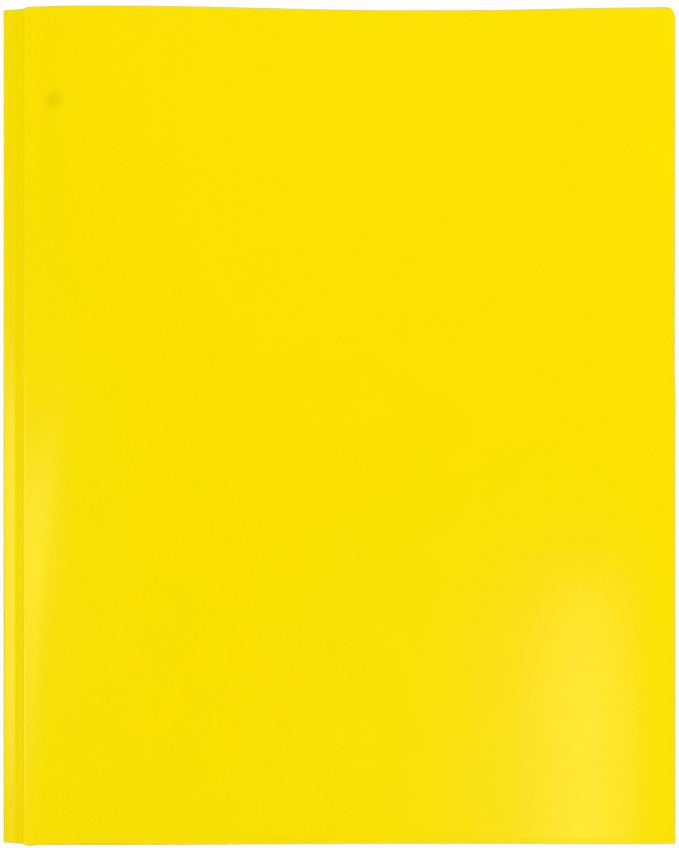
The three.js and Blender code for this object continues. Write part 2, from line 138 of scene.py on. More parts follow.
# The fasteners: their plates, and their tongues with a leg, a prong and a stiffening bead. A tongue's columns
# are given as a share of half its width.
METAL_THICKNESS = 0.35 * MM
HALF_METAL = METAL_THICKNESS / 2
PLATE_LENGTH = 30.0 * MM
PLATE_WIDTH = 7.0 * MM
PLATE_CORNER_STEPS = 8
PRONG_WIDTH = 3.6 * MM
PRONG_LENGTH = 22.0 * MM
PRONG_TIP_RADIUS = 1.6 * MM
LEG_START = 0.3 * MM
LEG_ROOT = 1.6 * MM
LEG_REACH = 5.6 * MM
LEG_BEND_RADIUS = 0.7 * MM
LEG_BEND_STEPS = 6
BEAD_MARGIN = 2.7 * MM
BEAD_WIDTH = 1.1 * MM
BEAD_HEIGHT = 0.2 * MM
BEAD_END = 1.0 * MM
TONGUE_STEP = 0.6 * MM
TONGUE_COLUMN = 0.1

# The fastener strip: what is joined into one flat face or one point, and its weld marks
FLAT_ANGLE = math.radians(2)
FLAT_POINT = 1e-6
WELD_MARGIN = 1.25 * MM
WELD_END = 6.0 * MM
WELD_SINK = 0.02 * MM
WELD_SIZE = (0.55 * MM, 1.5 * MM, 0.1 * MM)
WELD_SEGMENTS = 20
WELD_RINGS = 10

# The plastic: fine grain and wide mottling. NOISE_RANGE and GRAIN_RANGE are the part of a noise's values
# that is used, the bumps are a height and a strength, and a roughness is its lowest and highest value.
NOISE_RANGE = (0.3, 0.7)
NOISE_DETAIL = 2.0
GRAIN_RANGE = (0.35, 0.65)
GRAIN_SHADE = 0.1
GRAIN_BUMP = (0.03 * MM, 0.25)
MOTTLE_SIZE = 22.0 * MM
MOTTLE_SHADE = 0.03
MOTTLE_BUMP = (0.05 * MM, 0.2)
# SHADE_COLOUR is the darker colour for the grain, the mottling, and the painted shade and painted shadows
# below
SHADE_COLOUR = (0.62, 0.5, 0.0, 1)
SHEET_ROUGHNESS = (0.12, 0.21)
SHEET_IOR = 1.49
SHEET_TINT = (1.0, 1.0, 0.45, 1)
LIGHT_THROUGH = 0.08
EDGE_WEAR_SIZE = 1.5 * MM
EDGE_ROUGHNESS = (0.3, 0.45)

# The band along the groove: painted shade that darkens its crease, and a lower specular level where the
# pressed sheet is less shiny
BAND_SHIFT = 0.45 * MM
BAND_CORE = 0.7 * MM
BAND_REACH = 2.1 * MM
BAND_PAINTED_SHADE = 0.2
BAND_SPECULAR = (0.5, 0.06)

# Painted shadows of the legs that press on the front sheet, seen through it: joint, radius and strength of
# each spot
SPOT_SHIFT = 0.8 * MM
SPOT_CORE = 0.25
PAINTED_LEG_SHADOWS = (
    ("prong_top_upper_bend", 4.5 * MM, 0.27),
    ("prong_middle_upper_bend", 3.2 * MM, 0.07),
    ("prong_bottom_lower_bend", 3.2 * MM, 0.06),
)

# The steel, brushed along its length
METAL_DETAIL = 3.0
BRUSH_SIZE = 0.12 * MM
BRUSH_STRETCH = (1, 40, 1)
BRUSH_ROUGHNESS = (0.22, 0.32)
BRUSH_BUMP = (0.01 * MM, 0.3)
CLOUD_SIZE = 3.0 * MM
CLOUD_ROUGHNESS = 0.1

# The stage. Softboxes face straight down and windows face the folder: name, place, size and power, and
# for a window whether it shows in mirror-like rays.
SOFTBOXES = (
    ("low_right_softbox", (0.29, -0.46, 1.5), (0.025, 0.5), 0.62),
    ("left_softbox", (-1.3, -0.24, 1.5), (0.8, 0.6), 4.4),
    ("low_left_softbox", (-0.63, -0.3, 1.5), (0.22, 0.46), 0.95),
)
WINDOW_SIZE = (1.2, 1.0)
WINDOWS = (
    ("left_window", (-1.9, 0.3, 0.75), WINDOW_SIZE, 23.0, False),
    ("right_window", (1.6, 0.3, 1.1), WINDOW_SIZE, 27.5, True),
    ("far_window", (0.2, 2.0, 1.3), WINDOW_SIZE, 29.0, True),
    ("near_window", (0.3, -1.7, 1.0), WINDOW_SIZE, 16.0, True),
)
FLOOR_SIZE = 4.0
FLOOR_DROP = 0.2 * MM
FLOOR_COLOUR = (0.8, 0.8, 0.8, 1)
ROOM_STRENGTH = 0.03
WHITE = (1, 1, 1, 1)
CAMERA_PLACE = (0.18 * MM, 0.81 * MM, 569.5 * MM)
CAMERA_LENS = 68.7
CAMERA_SENSOR = 36.0


class FolderSettings(bpy.types.PropertyGroup):
    """The folder's sizes and colours that a user can change"""

    edge_round: FloatProperty(
        name="Edge round", description="Radius of the sheets' cut edges",
        default=0.2 * MM, subtype="DISTANCE", unit="LENGTH")
    metal_edge_round: FloatProperty(
        name="Metal edge round", description="Radius of the fasteners' edges",
        default=0.06 * MM, subtype="DISTANCE", unit="LENGTH")
    score_depth: FloatProperty(
        name="Score depth", description="Depth of the pressed grooves beside the spine",
        default=0.3 * MM, subtype="DISTANCE", unit="LENGTH")
    score_width: FloatProperty(
        name="Score width", description="Half width of the pressed grooves, on the cover's side",
        default=0.8 * MM, subtype="DISTANCE", unit="LENGTH")
    score_slope: FloatProperty(
        name="Score slope", description="How many times wider a groove is on the spine panel's side",
        default=2.0)
    lip_height: FloatProperty(
        name="Lip height", description="Height of the lips that the pressing raises beside a groove",
        default=0.06 * MM, subtype="DISTANCE", unit="LENGTH")
    row_step: FloatProperty(
        name="Row step", description="Distance between the rows of a sheet",
        default=4.0 * MM, subtype="DISTANCE", unit="LENGTH")
    column_step: FloatProperty(
        name="Column step", description="Distance between the columns of a sheet",
        default=3.0 * MM, subtype="DISTANCE", unit="LENGTH")
    grain_size: FloatProperty(
        name="Grain size", description="Size of the sand texture's grains",
        default=0.5 * MM, subtype="DISTANCE", unit="LENGTH")
    weld_pitch: FloatProperty(
        name="Weld pitch", description="Distance between the weld marks along the fastener strip",
        default=5.6 * MM, subtype="DISTANCE", unit="LENGTH")
    fold_steps: IntProperty(
        name="Fold steps", description="Steps round a folded edge", default=14)
    sheet_colour: FloatVectorProperty(
        name="Sheet colour", description="Colour of the plastic sheet",
        default=(0.965, 0.755, 0.0), size=3, subtype="COLOR")
    edge_colour: FloatVectorProperty(
        name="Edge colour", description="Colour of the sheet's cut edges",
        default=(0.4, 0.34, 0.03), size=3, subtype="COLOR")
    metal_colour: FloatVectorProperty(
        name="Metal colour", description="Colour of the tinned steel",
        default=(0.48, 0.5, 0.53), size=3, subtype="COLOR")


def settings():
    """The sizes and colours in use."""
    return bpy.context.scene.folder


# Shared measures of the folder


@lru_cache(maxsize=None)
def joint_point(name):
    """The point that a joint turns about."""
    point = next(j["pos_m"] for j in frame["joints"] if j["name"] == name)
    return Vector(point).freeze()


@lru_cache(maxsize=None)
def half_width():
    """Half the folder's width, from its middle to the free edge."""
    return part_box("back_bottom_fold")[1].x


@lru_cache(maxsize=None)
def half_height():
    """Half the folder's height, from its middle to the top edge."""
    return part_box("front_cover")[1].y


def pocket_inner_x():
    """The pocket's inner side, near the spine."""
    return POCKET_INSET - half_width()


def pocket_top():
    """The top of the pocket at the free edge."""
    return POCKET_OUTER_HEIGHT - half_height()


def fold_y():
    """Where the sheet starts to turn back along its bottom edge."""
    return BOTTOM_FOLD_RADIUS - half_height()


def mix(low, high, share):
    """The value a share of the way from low to high."""
    return low + (high - low) * share


def ease(value, low, high):
    """Rises smoothly from 0 at low to 1 at high."""
    share = min(max((value - low) / (high - low), 0.0), 1.0)
    return share * share * (3 - 2 * share)


def spaced(start, stop, step):
    """Evenly spaced values from start to stop, both included."""
    count = max(1, math.ceil(abs(stop - start) / step - COUNT_MARGIN))
    return [mix(start, stop, i / count) for i in range(count + 1)]


def joined(*lists):
    """Lists of values end to end, without repeating the values where they meet."""
    values = list(lists[0])
    for more in lists[1:]:
        values.extend(more[1:])
    return values


def front_level(x, y):
    """Height of the front cover's outer face. It springs up beside the groove and bows down towards the
    free edge, which lifts again, most at the top. It leans down a little over the pocket's side flap."""
    from_fold = x + half_width()
    free = ease(y, pocket_top(), half_height())
    groove = joint_point("front_groove").z + HALF_SHEET
    ridge = groove + mix(RIDGE_RISE_BOTTOM, RIDGE_RISE_TOP, y / (2 * half_height()) + 0.5)
    sag = mix(2 * POCKET_INNER_DEPTH + LAYER_GAP, 2 * SHEET_THICKNESS + OPEN_SAG_GAP, free)
    lift = mix(EDGE_LIFT_POCKET, EDGE_LIFT_TOP, free)
    beside_spine = mix(groove, ridge, ease(from_fold, SPINE_PANEL_WIDTH, RIDGE_START))
    across = mix(beside_spine, sag, ease(from_fold, RIDGE_END, SAG_START))
    spring = SPRING_RISE * (1 - math.exp(-max(0.0, from_fold - SPINE_PANEL_WIDTH) / SPRING_REACH))
    spring *= (1 - ease(from_fold, RIDGE_START, SAG_START)) * (1 - ease(y, 0, half_height()))
    over_flap = max(0.0, x - (half_width() - FLAP_WIDTH)) / FLAP_WIDTH
    drop = FLAP_DROP * over_flap * (1 - ease(y, pocket_top() - FLAP_WIDTH, pocket_top()))
    lift *= ease(from_fold, 2 * half_width() - EDGE_LIFT_WIDTH, 2 * half_width())
    return across + spring + lift - drop


def back_level(x, y):
    """Height of the back cover's outer face."""
    return 0.0


# Meshes


def add_surface(bm, columns, rows, place):
    """Adds a grid of faces. place(column, row) gives its points."""
    corners = [[bm.verts.new(place(u, v)) for v in rows] for u in columns]
    for i in range(len(columns) - 1):
        for j in range(len(rows) - 1):
            bm.faces.new((corners[i][j], corners[i][j + 1], corners[i + 1][j + 1], corners[i + 1][j]))


def thicken(bm, outer, inner, is_seam):
    """Gives a surface a thickness. outer and inner give the distance of each face from a point of the
    middle surface. Its edges are closed except where is_seam says that another sheet goes on."""
    bmesh.ops.remove_doubles(bm, verts=bm.verts, dist=SAME_POINT)
    bm.normal_update()
    middle = list(bm.verts)
    faces = [list(face.verts) for face in bm.faces]
    borders = []
    for edge in bm.edges:
        if edge.is_boundary and not all(is_seam(v.co) for v in edge.verts):
            loop = edge.link_loops[0]
            borders.append((loop.vert, loop.link_loop_next.vert))
    above = {v: bm.verts.new(v.co + v.normal * outer(v.co)) for v in middle}
    below = {v: bm.verts.new(v.co - v.normal * inner(v.co)) for v in middle}
    for corners in faces:
        bm.faces.new([above[v] for v in corners])
        bm.faces.new([below[v] for v in reversed(corners)])
    for first, second in borders:
        rim = bm.faces.new((above[second], above[first], below[first], below[second]))
        rim.material_index = 1
    bmesh.ops.delete(bm, geom=middle, context="VERTS")


def smooth_with_sharp_edges(mesh):
    """Shades a mesh smooth, with its steep edges kept sharp."""
    bm = bmesh.new()
    bm.from_mesh(mesh)
    for face in bm.faces:
        face.smooth = True
    for edge in bm.edges:
        edge.smooth = len(edge.link_faces) != 2 or edge.calc_face_angle() < SHARP_ANGLE
    bm.to_mesh(mesh)
    bm.free()


def make_object(name, bm, materials):
    """An object from a mesh. A second material is for its cut edges."""
    mesh = bpy.data.meshes.new(name)
    bm.to_mesh(mesh)
    bm.free()
    for material in materials:
        mesh.materials.append(material)
    obj = bpy.data.objects.new(name, mesh)
    bpy.context.scene.collection.objects.link(obj)
    return obj


def round_edges(obj, width):
    """Rounds an object's sharp edges, in its second material if it has one."""
    smooth_with_sharp_edges(obj.data)
    bevel = obj.modifiers.new("edge_round", "BEVEL")
    bevel.width = width
    bevel.segments = BEVEL_SEGMENTS
    bevel.limit_method = "ANGLE"
    bevel.angle_limit = SHARP_ANGLE
    bevel.use_clamp_overlap = False
    if len(obj.data.materials) > 1:
        bevel.material = 1
    return obj


# Materials


def new_material(name):
    """An empty material and its node tree."""
    material = bpy.data.materials.new(name)
    material.use_nodes = True
    material.node_tree.nodes.clear()
    return material, material.node_tree


def finish_material(tree, shader):
    """Links a shader to the material's surface."""
    output = add_node(tree, "ShaderNodeOutputMaterial")
    tree.links.new(shader, output.inputs["Surface"])


def object_coordinates(tree):
    """Places on the piece itself, in metres."""
    return add_node(tree, "ShaderNodeTexCoord").outputs["Object"]


def add_node(tree, kind, **values):
    """Adds a node. Keywords set its properties, or its inputs where they hold no such property."""
    node = tree.nodes.new(kind)
    for key, value in values.items():
        if hasattr(node, key):
            setattr(node, key, value)
        else:
            node.inputs[key.replace("_", " ").title()].default_value = value
    return node


def noise_node(tree, coordinates, size, detail, stretch=(1, 1, 1)):
    """Noise with grains of a given size, stretched along the axes."""
    mapping = add_node(tree, "ShaderNodeMapping")
    mapping.inputs["Scale"].default_value = [1 / (size * s) for s in stretch]
    tree.links.new(coordinates, mapping.inputs["Vector"])
    noise = add_node(tree, "ShaderNodeTexNoise", scale=1.0, detail=detail)
    tree.links.new(mapping.outputs["Vector"], noise.inputs["Vector"])
    return noise.outputs["Fac"]


def remap(tree, value, from_low, from_high, to_low, to_high, smooth=False):
    """Stretches a value from one range to another."""
    node = add_node(tree, "ShaderNodeMapRange")
    node.interpolation_type = "SMOOTHSTEP" if smooth else "LINEAR"
    node.inputs["From Min"].default_value = from_low
    node.inputs["From Max"].default_value = from_high
    node.inputs["To Min"].default_value = to_low
    node.inputs["To Max"].default_value = to_high
    tree.links.new(value, node.inputs["Value"])
    return node.outputs["Result"]


def math_node(tree, operation, first, second):
    """Works out a sum on two sockets or numbers."""
    node = add_node(tree, "ShaderNodeMath")
    node.operation = operation
    for socket, value in zip(node.inputs, (first, second)):
        if isinstance(value, (int, float)):
            socket.default_value = value
        else:
            tree.links.new(value, socket)
    return node.outputs[0]


def bump(tree, height, distance, strength, normal=None):
    """Relief from a height, laid over another relief if one is given."""
    node = add_node(tree, "ShaderNodeBump", strength=strength, distance=distance)
    tree.links.new(height, node.inputs["Height"])
    if normal:
        tree.links.new(normal, node.inputs["Normal"])
    return node.outputs["Normal"]


def painted_leg_shadow(tree, flat, place, radius, strength):
    """A soft round painted shadow at a place, where a part behind presses on the sheet and shows through it.
    """
    away = add_node(tree, "ShaderNodeVectorMath")
    away.operation = "DISTANCE"
    away.inputs[1].default_value = (place.x, place.y, 0)
    tree.links.new(flat, away.inputs[0])
    return remap(tree, away.outputs["Value"], radius * SPOT_CORE, radius, strength, 0.0, smooth=True)


def groove_band(tree, coordinates, groove_x):
    """1 along the pressed groove and 0 away from it: where shade is painted into the crease and the sheet
    shines less.
    """
    apart = add_node(tree, "ShaderNodeSeparateXYZ")
    tree.links.new(coordinates, apart.inputs["Vector"])
    beside = math_node(tree, "SUBTRACT", apart.outputs["X"], groove_x - BAND_SHIFT)
    distance = math_node(tree, "ABSOLUTE", beside, 0.0)
    return remap(tree, distance, BAND_CORE, BAND_REACH, 1.0, 0.0, smooth=True)


def sheet_shade(tree, coordinates, grain, mottle, band, spots):
    """How much darker the sheet is than its plain colour, from place to place: grain and mottling, painted
    shade along the groove, and painted shadows of the legs behind it.
    """
    flat = add_node(tree, "ShaderNodeVectorMath")
    flat.operation = "MULTIPLY"
    flat.inputs[1].default_value = (1, 1, 0)
    tree.links.new(coordinates, flat.inputs[0])
    shade = math_node(tree, "ADD", remap(tree, mottle, *NOISE_RANGE, 0.0, MOTTLE_SHADE),
                      remap(tree, grain, *GRAIN_RANGE, GRAIN_SHADE, 0.0))
    # Painted shade along the groove's crease
    shade = math_node(tree, "ADD", shade, math_node(tree, "MULTIPLY", band, BAND_PAINTED_SHADE))
    for place, radius, strength in spots:
        # Painted shadows of the legs behind the sheet
        spot = painted_leg_shadow(tree, flat.outputs["Vector"], place, radius, strength)
        shade = math_node(tree, "ADD", shade, spot)
    return shade


def sheet_surface(tree, colour, grain, mottle, band):
    """The satin face of the sheet, with its fine relief."""
    link = tree.links.new
    surface = add_node(tree, "ShaderNodeBsdfPrincipled")
    link(colour, surface.inputs["Base Color"])
    link(remap(tree, grain, *NOISE_RANGE, *SHEET_ROUGHNESS), surface.inputs["Roughness"])
    link(remap(tree, band, 0.0, 1.0, *BAND_SPECULAR), surface.inputs["Specular IOR Level"])
    surface.inputs["IOR"].default_value = SHEET_IOR
    surface.inputs["Specular Tint"].default_value = SHEET_TINT
    relief = bump(tree, grain, *GRAIN_BUMP)
    link(bump(tree, mottle, *MOTTLE_BUMP, relief), surface.inputs["Normal"])
    return surface.outputs["BSDF"]


def sheet_material(name, groove_x, spots):
    """Satin polypropylene with a fine sand grain, with painted shade and less shine along its groove. spots
    are (place, radius, strength) of painted shadows of the parts that press on the sheet from behind and show
    through it."""
    material, tree = new_material(name)
    link = tree.links.new
    coordinates = object_coordinates(tree)
    grain = noise_node(tree, coordinates, settings().grain_size, NOISE_DETAIL)
    mottle = noise_node(tree, coordinates, MOTTLE_SIZE, NOISE_DETAIL)
    band = groove_band(tree, coordinates, groove_x)

    # Inputs 6 and 7 are this node's two colours, and output 2 is their mix
    colour = add_node(tree, "ShaderNodeMix", data_type="RGBA")
    colour.inputs[6].default_value = (*settings().sheet_colour, 1)
    colour.inputs[7].default_value = SHADE_COLOUR
    link(sheet_shade(tree, coordinates, grain, mottle, band, spots), colour.inputs["Factor"])

    through = add_node(tree, "ShaderNodeBsdfTranslucent")
    link(colour.outputs[2], through.inputs["Color"])
    blend = add_node(tree, "ShaderNodeMixShader")
    blend.inputs["Fac"].default_value = LIGHT_THROUGH
    link(sheet_surface(tree, colour.outputs[2], grain, mottle, band), blend.inputs[1])
    link(through.outputs["BSDF"], blend.inputs[2])
    finish_material(tree, blend.outputs["Shader"])
    return material


def edge_material(name):
    """The same plastic seen through its thickness: deeper in colour and smooth."""
    material, tree = new_material(name)
    wear = noise_node(tree, object_coordinates(tree), EDGE_WEAR_SIZE, NOISE_DETAIL)
    surface = add_node(tree, "ShaderNodeBsdfPrincipled")
    surface.inputs["Base Color"].default_value = (*settings().edge_colour, 1)
    tree.links.new(remap(tree, wear, *NOISE_RANGE, *EDGE_ROUGHNESS), surface.inputs["Roughness"])
    finish_material(tree, surface.outputs["BSDF"])
    return material


def metal_material(name):
    """Tinned sheet steel, brushed lightly along its length."""
    material, tree = new_material(name)
    coordinates = object_coordinates(tree)
    brushed = noise_node(tree, coordinates, BRUSH_SIZE, METAL_DETAIL, BRUSH_STRETCH)
    clouds = noise_node(tree, coordinates, CLOUD_SIZE, METAL_DETAIL)
    surface = add_node(tree, "ShaderNodeBsdfPrincipled")
    surface.inputs["Base Color"].default_value = (*settings().metal_colour, 1)
    surface.inputs["Metallic"].default_value = 1.0
    rough = math_node(tree, "ADD", remap(tree, brushed, *NOISE_RANGE, *BRUSH_ROUGHNESS),
                      remap(tree, clouds, *NOISE_RANGE, 0.0, CLOUD_ROUGHNESS))
    tree.links.new(rough, surface.inputs["Roughness"])
    tree.links.new(bump(tree, brushed, *BRUSH_BUMP), surface.inputs["Normal"])
    finish_material(tree, surface.outputs["BSDF"])
    return material


def material_named(name, build, *values):
    """A material that several pieces share, built once."""
    return bpy.data.materials.get(name) or build(name, *values)


def plain_sheet():
    """The back sheet's plastic."""
    return material_named("sheet_plastic", sheet_material, joint_point("back_groove").x, [])


def sheet_edge():
    """The cut edge, where the sheet looks deeper in colour."""
    return material_named("sheet_edge_plastic", edge_material)


def metal():
    """The fasteners' steel."""
    return material_named("fastener_steel", metal_material)


def front_sheet_with_painted_shadows():
    """The front sheet's plastic, with painted shadows of the three legs that press on it from behind."""
    shift = Vector((SPOT_SHIFT, 0, 0))
    spots = [(joint_point(joint) + shift, radius, strength) for joint, radius, strength in PAINTED_LEG_SHADOWS]
    return material_named("front_sheet_plastic", sheet_material, joint_point("front_groove").x, spots)


# Sheets: each cover is one sheet from its spine panel to its pocket's side flap


def panel_tilt(groove):
    """How far a spine panel leans, from the fold to its groove."""
    to_groove = groove - joint_point("spine_fold")
    return math.atan2(to_groove.z, to_groove.x)


def along_section(groove, level, side, s, y):
    """A point of a cover's middle surface, s away from the spine fold along the sheet."""
    fold = joint_point("spine_fold")
    if s < SPINE_PANEL_WIDTH:
        tilt = panel_tilt(groove)
        return Vector((fold.x + s * math.cos(tilt), y, fold.z + s * math.sin(tilt)))
    x = groove.x + s - SPINE_PANEL_WIDTH
    return Vector((x, y, level(x, y) + side * HALF_SHEET))


def end_relief(s):
    """How much the sheet is cut back at both ends of the spine."""
    return SPINE_END_RELIEF * (1 - ease(s, SPINE_PANEL_WIDTH + RELIEF_START, SPINE_PANEL_WIDTH + RELIEF_END))


def corner_drop(x, edge_x, radius):
    """How far a round corner lowers an edge at x, where the side beside it is at edge_x."""
    inside = min(max(x - (edge_x - radius), 0.0), radius)
    return radius - math.sqrt(radius * radius - inside * inside)


def cover_edge_x(y):
    """The free edge, trimmed back a little above the pocket."""
    trim = COVER_EDGE_TRIM * ease(y, pocket_top(), pocket_top() + COVER_CORNER_RADIUS)
    return half_width() - trim


def score_offset(distance, lip_height):
    """Height of the outer face beside a pressed groove, against the plain sheet. The groove falls
    gently from the spine panel and rises steeply to a lip on the cover."""
    values = settings()
    width = values.score_width * (values.score_slope if distance < 0 else 1)
    dip = values.score_depth * math.exp(-((distance / width) ** 2))
    from_lip = distance / values.score_width - LIP_DISTANCE
    return lip_height * math.exp(-(from_lip ** 2)) - dip


def pocket_height(x):
    """The sloping top edge of a pocket, with its round inner corner."""
    inner = POCKET_INNER_HEIGHT - half_height()
    share = (x - pocket_inner_x()) / (half_width() - pocket_inner_x())
    from_corner = min(max(x - pocket_inner_x(), 0.0), POCKET_CORNER_RADIUS)
    gone = POCKET_CORNER_RADIUS - from_corner
    drop = POCKET_CORNER_RADIUS - math.sqrt(POCKET_CORNER_RADIUS ** 2 - gone ** 2)
    return mix(inner, pocket_top(), share) - drop


def cover_columns(groove):
    """Distances along the section from the spine fold, up to the pocket and from there to the free
    edge. They are close together where the sheet is scored and at its free edge."""
    values = settings()
    score = SCORE_SPAN * values.score_width
    pocket = SPINE_PANEL_WIDTH + pocket_inner_x() - groove.x
    edge = SPINE_PANEL_WIDTH + half_width() - groove.x
    corner = edge - COVER_CORNER_RADIUS
    beside = joined(
        spaced(FOLD_REACH, SPINE_PANEL_WIDTH - score, PANEL_STEP),
        spaced(SPINE_PANEL_WIDTH - score, SPINE_PANEL_WIDTH + score, SCORE_STEP),
        spaced(SPINE_PANEL_WIDTH + score, pocket, BESIDE_STEP),
    )
    wide = joined(spaced(pocket, corner, values.column_step), spaced(corner, edge, CORNER_STEP))
    return beside, wide


def add_cover(bm, groove, level, side):
    """The spine panel and the cover, down to the bottom edge beside the pocket and to the fold at it."""
    beside, wide = cover_columns(groove)
    shares = spaced(0.0, 1.0, settings().row_step / (half_height() - fold_y()))

    def top_of(s):
        x = groove.x + s - SPINE_PANEL_WIDTH
        edge_x = half_width() - COVER_EDGE_TRIM
        return half_height() - end_relief(s) - corner_drop(min(x, edge_x), edge_x, COVER_CORNER_RADIUS)

    def place(s, share):
        y = mix(top_of(s), fold_y(), share)
        point = along_section(groove, level, side, s, y)
        corner_x = cover_edge_x(y) - COVER_CORNER_RADIUS
        if point.x > corner_x:
            inside = (point.x - corner_x) / (half_width() - corner_x)
            point.x = corner_x + inside * COVER_CORNER_RADIUS
        return point

    def place_below(s, share):
        trim = PLAIN_EDGE_TRIM * ease(s, SPINE_PANEL_WIDTH + RELIEF_END, 2 * SPINE_PANEL_WIDTH)
        y = mix(fold_y(), -half_height() + end_relief(s) + trim, share)
        return along_section(groove, level, side, s, y)

    add_surface(bm, beside, shares, place)
    add_surface(bm, wide, shares, place)
    add_surface(bm, beside, (0.0, 0.5, 1.0), place_below)


def add_pocket(bm, groove, level, side):
    """The bottom fold and the pocket, up to its sloping edge."""
    _, wide = cover_columns(groove)
    turns = spaced(0.0, math.pi, math.pi / settings().fold_steps)
    middle_radius = BOTTOM_FOLD_RADIUS - HALF_SHEET

    def place_fold(s, angle):
        x = groove.x + s - SPINE_PANEL_WIDTH
        y = fold_y() - middle_radius * math.sin(angle)
        depth = BOTTOM_FOLD_RADIUS - middle_radius * math.cos(angle)
        return Vector((x, y, level(x, y) + side * depth))

    add_surface(bm, wide, turns, place_fold)
    shares = spaced(0.0, 1.0, settings().row_step / POCKET_OUTER_HEIGHT)

    def place_panel(s, share):
        x = min(groove.x + s - SPINE_PANEL_WIDTH, flap_turn_x())
        y = mix(fold_y(), pocket_height(x), share)
        return Vector((x, y, level(x, y) + side * POCKET_DEPTH))

    columns = [s for s in wide if groove.x + s - SPINE_PANEL_WIDTH < flap_turn_x()]
    columns.append(SPINE_PANEL_WIDTH + flap_turn_x() - groove.x)
    add_surface(bm, columns, shares, place_panel)
    add_flap(bm, level, side)


def flap_turn_x():
    """Where the pocket's sheet starts to turn back along the free edge."""
    return half_width() - POCKET_EDGE_INSET - (POCKET_DEPTH - FLAP_DEPTH + SHEET_THICKNESS) / 2


def add_flap(bm, level, side):
    """The fold along the pocket's free edge and the narrow flap inside it."""
    radius = (POCKET_DEPTH - FLAP_DEPTH) / 2
    middle = (POCKET_DEPTH + FLAP_DEPTH) / 2
    turns = spaced(0.0, math.pi, math.pi / settings().fold_steps)
    shares = spaced(0.0, 1.0, settings().row_step / POCKET_OUTER_HEIGHT)

    def place_turn(angle, share):
        x = flap_turn_x() + radius * math.sin(angle)
        y = mix(fold_y(), pocket_height(flap_turn_x()), share)
        return Vector((x, y, level(x, y) + side * (middle + radius * math.cos(angle))))

    def place_flap(inside, share):
        x = flap_turn_x() - inside
        y = mix(fold_y(), pocket_height(flap_turn_x()), share)
        return Vector((x, y, level(x, y) + side * FLAP_DEPTH))

    add_surface(bm, turns, shares, place_turn)
    add_surface(bm, spaced(0.0, FLAP_WIDTH, settings().column_step), shares, place_flap)


def keep_inside(bm):
    """Keeps a sheet inside the frame's box."""
    for vert in bm.verts:
        vert.co.x = min(vert.co.x, half_width())
        vert.co.y = min(max(vert.co.y, -half_height()), half_height())
        vert.co.z = max(vert.co.z, 0.0)


def face_outward(bm, side):
    """Turns a sheet's faces to its outer side: down for side 1, up for side -1."""
    bmesh.ops.remove_doubles(bm, verts=bm.verts, dist=SAME_POINT)
    bmesh.ops.recalc_face_normals(bm, faces=bm.faces)
    outermost = max(bm.faces, key=lambda face: face.calc_center_median().z * -side)
    if outermost.normal.z * side > 0:
        bmesh.ops.reverse_faces(bm, faces=bm.faces)


def build_sheet(name, groove_joint, level, side, material, nodes):
    """One folded sheet: spine panel, groove, cover, bottom fold, pocket and flap."""
    groove = joint_point(groove_joint)
    bm = bmesh.new()
    add_cover(bm, groove, level, side)
    add_pocket(bm, groove, level, side)
    seam_x = along_section(groove, level, side, FOLD_REACH, 0).x
    lip_height = settings().lip_height if side < 0 else 0.0

    def is_seam(point):
        return abs(point.x - seam_x) < SEAM_MARGIN

    def outer(point):
        distance = math.copysign((point - groove).xz.length, point.x - groove.x)
        return HALF_SHEET + score_offset(distance - SCORE_SHIFT, lip_height)

    face_outward(bm, side)
    thicken(bm, outer, lambda point: HALF_SHEET, is_seam)
    keep_inside(bm)
    obj = round_edges(make_object(name, bm, (material, sheet_edge())), settings().edge_round)
    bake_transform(obj)
    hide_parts(*nodes)


def along_panel(groove_joint):
    """The direction of a spine panel, from the fold to its groove."""
    tilt = panel_tilt(joint_point(groove_joint))
    return Vector((math.cos(tilt), 0, math.sin(tilt)))


def build_spine_fold():
    """The fold between the two spine panels."""
    fold = joint_point("spine_fold")
    back = along_panel("back_groove")
    front = along_panel("front_groove")
    length = half_height() - SPINE_END_RELIEF

    def place(s, y):
        if abs(s) >= FOLD_REACH:
            point = fold + abs(s) * (front if s > 0 else back)
        else:
            round_here = FOLD_ROUND * (1 - (s / FOLD_REACH) ** 2) ** 2
            long = math.hypot(s, round_here)
            point = fold + (long + s) / 2 * front + (long - s) / 2 * back
        return Vector((point.x, y, point.z))

    bm = bmesh.new()
    rows = spaced(length, -length, settings().row_step)
    add_surface(bm, spaced(-FOLD_REACH, FOLD_REACH, FOLD_STEP), rows, place)
    thicken(bm, lambda point: HALF_SHEET, lambda point: HALF_SHEET,
            lambda point: (point - fold).xz.length > FOLD_REACH - SEAM_MARGIN)
    obj = round_edges(make_object("spine_fold_sheet", bm, (plain_sheet(), sheet_edge())),
                      settings().edge_round)
    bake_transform(obj)


# Fasteners


def rounded_path(points, radius, steps):
    """A path through points, with its corners as arcs of the radius."""
    path = [points[0]]
    for before, corner, after in zip(points, points[1:], points[2:]):
        into = (corner - before).normalized()
        out = (after - corner).normalized()
        turn = into.angle(out)
        cut = radius * math.tan(turn / 2)
        start = corner - into * cut
        for i in range(steps + 1):
            share = i / steps
            first = start.lerp(corner, share)
            second = corner.lerp(corner + out * cut, share)
            path.append(first.lerp(second, share))
    path.append(points[-1])
    return path


def evenly(path, step):
    """The same path with extra points, so that no two are further apart than step."""
    points = [path[0]]
    for before, after in zip(path, path[1:]):
        count = max(1, math.ceil((after - before).length / step))
        points.extend(before.lerp(after, i / count) for i in range(1, count + 1))
    return points


